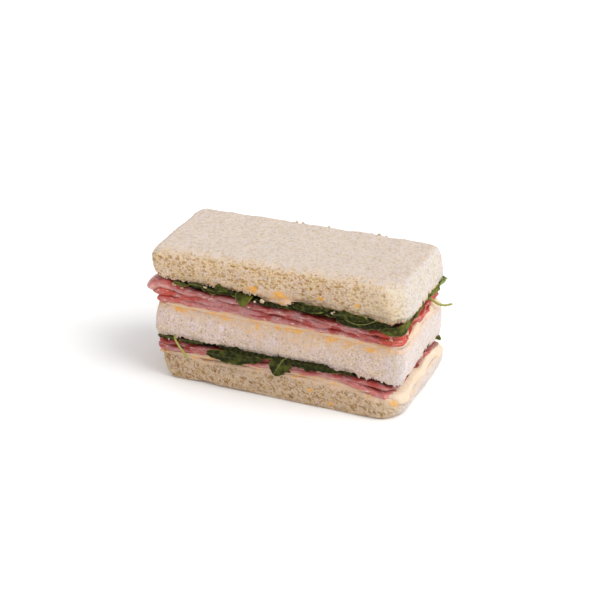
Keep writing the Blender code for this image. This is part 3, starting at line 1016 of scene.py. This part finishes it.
def add_stem(pile, knots, thick, thin, tint, rib=0.9):
    """A bending stalk through the knots, given in millimetres."""
    knots = np.array(knots, float)
    between_knots, rounds, sides = 12, 14, 10
    count = between_knots * (len(knots) - 1) + 1
    at = np.linspace(0, len(knots) - 1, count)
    path = np.stack([np.interp(at, np.arange(len(knots)), knots[:, k]) for k in range(3)], axis=1)
    for _ in range(rounds):
        path[1:-1] = (path[:-2] + 2 * path[1:-1] + path[2:]) / 4.0
    tangent = np.gradient(path, axis=0)
    tangent /= np.linalg.norm(tangent, axis=1, keepdims=True)
    side = np.cross(tangent, (0.3, 0.2, 1.0))
    side /= np.linalg.norm(side, axis=1, keepdims=True)
    other = np.cross(tangent, side)
    turn = np.linspace(0, 2 * np.pi, sides, endpoint=False)
    radius = np.linspace(thick, thin, count) / 2.0
    radius = radius * (1.0 + 0.1 * np.sin(np.arange(count) * 0.9))
    ring = (np.cos(turn)[None, :, None] * side[:, None] + np.sin(turn)[None, :, None] * other[:, None])
    points = (path[:, None] + ring * radius[:, None, None]).reshape(-1, 3) * MM
    index = np.arange(count * sides).reshape(count, sides)
    faces = ring_quads(index) + [index[0][::-1].tolist(), index[-1].tolist()]
    pile.add(points, faces, rib=rib, vein=0.0, tint=tint, border=0.0)


def leaf_look():
    look = Look("rocket_leaf")
    # A leaf's tint is partly its own green and partly painted light and shade: low for leaves in shade, high
    # for sunlit leaves. The patches paint darker shade over parts of each leaf, and the edge glints are
    # painted highlights.
    shade = look.plus(look.mark("tint"), look.patches(4.0, 0.34, 0.66, -0.36, 0.18, 2.0))
    green = look.layered(
        (0.012, 0.013, 0.002), ((0.13, 0.14, 0.018), look.steps(shade, 0.0, 1.0)),
        ((0.20, 0.27, 0.085), look.steps(shade, 1.0, 2.0)),
        ((0.20, 0.21, 0.05), look.times(look.mark("vein"), 0.2)),
        ((0.22, 0.23, 0.05), look.times(look.mark("border"), 0.8)), ((0.36, 0.36, 0.10), look.mark("rib")))
    look.set(Base_Color=green, Roughness=look.patches(1.2, 0.3, 0.7, 0.45, 0.65), Specular_IOR_Level=0.10)
    look.soft(0.1, (0.6, 1.0, 0.3), 0.5)
    look.bump(look.noise(0.5, 3.0), 0.15)
    return look.material


LEAF = leaf_look()
upper, lower = Rim(upper_core), Rim(lower_core)

# Tints are partly painted light and shade: low for leaves in shade, high for sunlit ones
# place, inset, heading, length, width, hang, lobes, ruffle, lift, tint, seed, ribbed, out
UPPER_FRONT = (
    Leaf(-43.0, 0.6, 0.0, 7.0, 1.8, 60, 0.6, 0.9, 2.0, 0.1, 1),
    Leaf(-36.5, 0.6, 2.0, 8.0, 2.2, 60, 0.6, 1.1, 2.4, 0.15, 2),
    Leaf(-31.0, 0.4, 2.0, 9.0, 2.6, 50, 0.5, 1.0, 1.6, 0.0, 12),
    Leaf(-25.0, 1.0, 1.0, 9.0, 2.8, 70, 0.45, 1.2, 3.5, 0.25, 3, 0.1),
    Leaf(-24.0, 0.3, -2.0, 14.0, 3.0, 50, 0.3, 0.9, 1.6, -0.4, 14, 0.05),
    Leaf(-13.6, -6.0, 86.0, 10.4, 7.6, 84, 0.05, 0.5, 2.3, 0.62, 4, 0.1, frill=0.4, bend=1.2),
    Leaf(-8.0, -0.2, 0.0, 13.0, 3.0, 60, 0.3, 0.8, 1.4, -0.5, 16, 0.0),
    Leaf(3.5, 1.0, 0.0, 24.0, 2.2, 70, 0.2, 0.4, 1.9, 0.2, 5, 0.0, 0.4),
    Leaf(8.5, 1.7, 0.0, 16.0, 3.4, 78, 0.45, 1.7, 5.2, 0.2, 6, 0.1, 0.6),
    Leaf(6.0, 0.2, -2.0, 19.0, 3.6, 70, 0.3, 0.7, 2.4, -0.45, 7, 0.0),
    Leaf(20.0, 0.8, -1.0, 14.0, 4.0, 70, 0.2, 0.6, 3.0, -0.15, 15, 0.0),
    Leaf(26.0, 1.9, -3.0, 15.5, 3.7, 76, 0.2, 1.1, 3.9, 0.3, 8, 0.2, 0.8),
    Leaf(27.0, 1.6, -2.0, 14.0, 3.0, 78, 0.15, 0.4, 1.5, -0.05, 9, 0.1, 0.3),
    Leaf(36.5, 2.8, -4.0, 9.5, 5.4, 82, 0.1, 0.9, 4.2, -0.15, 10, 0.0, 0.9),
    Leaf(46.6, 3.2, -6.0, 16.0, 3.9, 84, 0.04, 0.35, 4.4, 0.5, 11, 0.12, 1.2, frill=0.3),
    Leaf(38.0, 0.4, 0.0, 12.0, 4.0, 70, 0.2, 0.4, 3.2, -0.2, 17, 0.0),
)
LOWER_FRONT = (
    Leaf(-50.0, 0.6, 0.0, 9.0, 2.0, 60, 0.6, 0.8, 1.7, 0.0, 21),
    Leaf(-40.0, 0.4, 0.0, 10.0, 2.0, 60, 0.5, 0.8, 1.4, -0.1, 20),
    Leaf(-28.0, 3.2, -4.0, 24.0, 5.0, 84, 0.1, 0.6, 1.0, 0.33, 22, 0.15, 0.6),
    Leaf(-23.0, 0.4, 0.0, 26.0, 3.2, 60, 0.3, 0.6, 1.6, -0.35, 29, 0.0),
    Leaf(5.6, -1.6, 120.0, 9.8, 9.4, 84, 0.1, 0.6, 1.2, 0.3, 23, 0.6, 0.6),
    Leaf(6.0, 1.5, -1.0, 21.0, 4.2, 80, 0.2, 0.7, 1.6, 0.0, 24, 0.05, 0.2),
    Leaf(27.0, 0.6, 0.0, 6.0, 2.0, 60, 0.5, 0.4, 1.4, 0.1, 25, 0.0),
)
# The right end's leaves stand in full sun; their high tints are partly painted light
UPPER_RIGHT = (
    Leaf(-14.5, 0.4, 0.0, 6.0, 2.4, 50, 0.5, 0.8, 3.0, 0.3, 31),
    Leaf(-4.0, 0.2, 0.0, 5.0, 2.0, 40, 0.6, 0.9, 1.4, 0.3, 32),
    Leaf(8.0, 0.6, 4.0, 9.0, 3.4, 40, 0.6, 1.2, 1.6, 1.3, 33),
    Leaf(15.0, 1.4, 8.0, 9.0, 5.0, -40, 0.6, 1.4, 1.4, 2.0, 36),
)
LOWER_RIGHT = (
    Leaf(9.0, 0.0, 0.0, 6.0, 2.0, 40, 0.5, 0.4, 1.0, 0.3, 34),
    Leaf(18.5, 0.4, 5.0, 6.0, 3.4, 25, 0.6, 0.4, 0.6, 0.5, 35),
)


def add_leaves(rim, side, leaves):
    for leaf in leaves:
        add_leaf(rim, side, leaf)


add_leaves(upper, "front", UPPER_FRONT)
add_leaves(lower, "front", LOWER_FRONT)
add_stem(upper.leaves, (
    (25.5, -23.0, 40.6), (29.5, -25.0, 39.6), (33.5, -25.6, 38.5), (38.0, -25.6, 39.0), (42.5, -24.8, 41.2)),
    0.3, 0.35, 0.35, rib=0.4)
add_stem(lower.leaves, (
    (-43.5, -18.0, 18.6), (-42.0, -22.5, 18.8), (-40.6, -24.6, 18.0), (-38.9, -25.0, 15.9),
    (-37.0, -25.0, 13.6), (-35.6, -24.9, 11.6)), 0.75, 0.95, 0.9)
add_leaves(upper, "right", UPPER_RIGHT)
add_leaves(lower, "right", LOWER_RIGHT)
add_stem(upper.leaves, (
    (45.0, 12.0, 36.6), (50.0, 12.5, 36.0), (53.5, 13.2, 33.6), (55.8, 14.6, 32.8), (58.2, 16.2, 33.2)),
    1.0, 0.8, 0.75)

# The back and the ends
sin, cos = math.sin, math.cos
for n, place in enumerate((42.0, 27.0, 14.0, 0.0, -13.0, -26.0, -38.0)):
    add_leaves(upper, "back", (
        Leaf(place, 0.5 + 0.5 * sin(3.1 * n), 9.0 * sin(2.0 * n), 15.0, 4.4 + 1.2 * sin(1.7 * n),
             55 + 25 * cos(n), 0.35, 0.8, 2.0 + cos(2.6 * n), 0.3 + 0.2 * sin(5.0 * n), 41 + n),
        Leaf(place + 4.0, 0.6, 3.0 * cos(2.0 * n), 14.0, 3.6, 60, 0.3, 0.8, 3.0, 0.0, 141 + n, 0.1)))
    add_leaf(lower, "back", Leaf(
        place - 5.0, 0.4 + 0.5 * cos(2.3 * n), 9.0 * cos(2.6 * n), 14.0, 4.2 + 1.2 * cos(1.9 * n),
        60 + 20 * sin(n), 0.35, 0.6, 0.8 + 0.6 * sin(3.3 * n), 0.3 + 0.2 * cos(4.0 * n), 51 + n))
# The upper right end's tints rise along the row, partly painted light
for n, place in enumerate((-19.0, -12.0, -6.0, 1.0, 7.0, 14.0)):
    add_leaf(upper, "right", Leaf(
        place, 0.3, 4.0 * sin(3.0 * n), 9.0, 3.4, 55, 0.4, 1.1, 2.0, 0.05 + 0.30 * n, 81 + n, 0.1))
    add_leaf(lower, "right", Leaf(
        place + 2.0, -1.4, 3.0 * cos(3.0 * n), 8.0, 2.4, 55, 0.4, 0.7, 0.9, 0.05, 91 + n, 0.1))
for n, place in enumerate((14.0, 2.0, -9.0)):
    add_leaf(upper, "left", Leaf(place, 0.2, 10.0 * sin(n), 11.0, 4.0, 35, 0.4, 0.7, 0.0, 0.3, 61 + n))
    add_leaf(lower, "left", Leaf(place, 0.5, 10.0 * cos(n), 12.0, 5.0, 70, 0.3, 0.6, 0.0, 0.3, 71 + n))

upper.leaves.piece("greens_upper_leaves", LEAF, "greens", ("greens_upper",))
lower.leaves.piece("greens_lower_leaves", LEAF, "greens", ("greens_lower",))


# ---- crumbs, dollops of spread and flecks

def add_lump(pile, place, size, seed):
    """An uneven rounded lump; place and size in millimetres."""
    rings, sides, unevenness = 7, 10, 0.6
    up = np.linspace(0.0, np.pi, rings + 2)[1:-1, None]
    round_way = np.linspace(0.0, 2 * np.pi, sides, endpoint=False)[None, :]
    ball = np.stack([np.sin(up) * np.cos(round_way), np.sin(up) * np.sin(round_way),
                     np.cos(up) * np.ones_like(round_way)], -1).reshape(-1, 3)
    ball = np.concatenate([ball, [(0, 0, 1.0), (0, 0, -1.0)]])
    bumps = 1.0 + unevenness * rough(ball + 5.0 * seed, 0.9, seed, 2)
    points = (place + ball * bumps[:, None] * size / 2.0) * MM
    index = np.arange(rings * sides).reshape(rings, sides)
    following = np.roll(index, -1, axis=1)
    faces = np.stack([index[:-1], index[1:], following[1:], following[:-1]], -1).reshape(-1, 4).tolist()
    top, bottom = rings * sides, rings * sides + 1
    faces += [[top, a, b] for a, b in zip(index[0], following[0])]
    faces += [[bottom, b, a] for a, b in zip(index[-1], following[-1])]
    pile.add(points, faces, tint=chance(seed, 1, 2, seed=9))


def crumb_look():
    look = Look("loose_crumb")
    colour = look.layered(
        (0.62, 0.49, 0.35), ((0.56, 0.34, 0.15), look.steps(look.mark("tint"), 0.4, 1.0, 0.0, 0.8)),
        ((0.45, 0.28, 0.12), look.patches(0.6, 0.55, 0.7, 0.0, 0.6)))
    look.set(Base_Color=colour, Roughness=0.85, Specular_IOR_Level=0.2)
    look.bump(look.noise(0.3), 0.1)
    return look.material


def front_of(slab, x, z):
    """The place on a slab's front at a place along X and a height, all in millimetres."""
    s = np.full(2, (x * MM - slab.centre[0]) / slab.half[0])
    low, high = slab.points(s, np.full(2, -1.0), np.array([0.0, 1.0])) / MM
    return low + (high - low) * (z - low[2]) / (high[2] - low[2])


def add_clump(pile, place, size, flatness, seed):
    """A few uneven lumps grown together."""
    for part in range(3):
        shift = (np.array([chance(seed, part, axis, seed=3) for axis in range(3)]) - 0.5) * size
        lump = np.array([size, flatness * size, 0.8 * size]) * (0.75 - 0.15 * part)
        add_lump(pile, place + shift * (0.8, 0.2, 0.6), lump, 7 * seed + part)


crumbs, dollops, bits = Pile(), Pile(), Pile()

# Place along X, height and size of loose crumbs on the front
FRONT_CRUMBS = (
    (-40.4, 42.0, 1.9), (-37.6, 40.8, 1.3), (-28.1, 42.6, 1.0), (-4.5, 40.6, 1.9), (-7.4, 40.0, 1.1),
    (8.6, 42.0, 1.4), (24.6, 41.0, 1.5), (47.6, 33.6, 1.2), (3.3, 37.2, 0.9), (-10.0, 37.2, 0.8))
FRONT_CRUMBS_Y = -24.1
for number, (x, z, size) in enumerate(FRONT_CRUMBS):
    add_clump(crumbs, np.array([x, FRONT_CRUMBS_Y, z]), size, 0.8, 600 + number)

# A fringe of small crumbs along the top slice's lower front edge
FRINGE = 52
edge_s = np.linspace(-0.93, 0.9, FRINGE)
edge_s = edge_s + 0.02 * (hash01(np.stack([np.arange(FRINGE)] * 3, axis=1), 5) - 0.5)
fringe = top_slab.points(edge_s, np.full(FRINGE, -1.0), np.zeros(FRINGE)) / MM
for number, place in enumerate(fringe):
    drop, size = (chance(number, part, 7, seed=6) for part in (1, 2))
    add_clump(crumbs, place - (0.0, 0.3, 0.1 + 0.9 * drop), 0.6 + 0.7 * size, 0.9, 660 + number)

# Place along X and size of crumbs on the top slice's back edge, which falls off to both ends
BACK_CRUMBS = (
    (-9.5, 1.3), (-6.5, 1.0), (4.0, 0.9), (19.0, 1.0), (21.5, 1.4), (25.5, 1.2), (28.0, 0.9), (36.0, 1.0))
BACK_EDGE_Y, BACK_EDGE_Z = 23.6, 53.7
for number, (x, size) in enumerate(BACK_CRUMBS):
    place = np.array([x, BACK_EDGE_Y, BACK_EDGE_Z - 0.01 * abs(x)])
    add_clump(crumbs, place, 1.3 * size, 0.9, 640 + number)

# Place along X, height and size of dollops of spread on the top slice's front
DOLLOPS = ((-1.0, 42.0, 2.4), (2.2, 41.0, 2.8), (5.8, 40.6, 2.4), (9.2, 41.8, 2.0), (47.0, 40.9, 1.3))
for number, (x, z, size) in enumerate(DOLLOPS):
    add_clump(dollops, front_of(top_slab, x, z) - (0.0, 0.1, 0.0), size, 0.5, 700 + number)
add_clump(dollops, np.array([-48.0, -21.4, 11.4]), 2.6, 0.9, 720)
add_clump(bits, front_of(middle_slab, 40.2, 24.0) - (0.0, 0.6, 0.0), 1.3, 0.8, 731)
crumbs.piece("loose_crumbs", crumb_look(), "brown_bread")
dollops.piece("spread_dollops", SPREAD, "spread")
bits.piece("green_bits", LEAF, "greens")


# ---- camera, light and floor

def add_aimed(name, data, azimuth, elevation, distance):
    """An object that looks at the sandwich from a direction and a distance."""
    aimed = bpy.data.objects.new(name, data)
    aimed.rotation_mode = "QUATERNION"
    back = Vector((math.sin(azimuth) * math.cos(elevation), -math.cos(azimuth) * math.cos(elevation),
                   math.sin(elevation)))
    aimed.location = LOOK_AT + back * distance
    aimed.rotation_quaternion = back.to_track_quat("Z", "Y")
    bpy.context.scene.collection.objects.link(aimed)
    return aimed


def add_camera():
    data = bpy.data.cameras.new("camera")
    data.sensor_fit = "HORIZONTAL"
    data.angle = FIELD_OF_VIEW
    bpy.context.scene.camera = add_aimed("camera", data, AZIMUTH, ELEVATION, DISTANCE)


def add_sun(azimuth, elevation, strength, softness):
    data = bpy.data.lights.new("key", "SUN")
    data.energy = strength
    data.angle = math.radians(softness)
    add_aimed("key", data, math.radians(azimuth), math.radians(elevation), 1.0)


def add_floor():
    mesh = bpy.data.meshes.new("floor")
    size = 4.0
    corners = [(x, y, 0.0) for x, y in ((-size, -size), (size, -size), (size, size), (-size, size))]
    mesh.from_pydata(corners, [], [(0, 1, 2, 3)])
    look = Look("floor_white")
    look.set(Base_Color=(0.95, 0.95, 0.95), Roughness=0.9, Specular_IOR_Level=0.1)
    mesh.materials.append(look.material)
    floor = bpy.data.objects.new("floor", mesh)
    bpy.context.scene.collection.objects.link(floor)


def add_sky():
    world = bpy.data.worlds.new("studio")
    world.use_nodes = True
    world.node_tree.nodes["Background"].inputs["Color"].default_value = (1.0, 1.0, 1.0, 1.0)
    world.node_tree.nodes["Background"].inputs["Strength"].default_value = 0.8
    bpy.context.scene.world = world


add_camera()
add_floor()
add_sky()
add_sun(azimuth=82.0, elevation=45.0, strength=2.1, softness=45.0)
bpy.context.scene.view_settings.view_transform = "Standard"
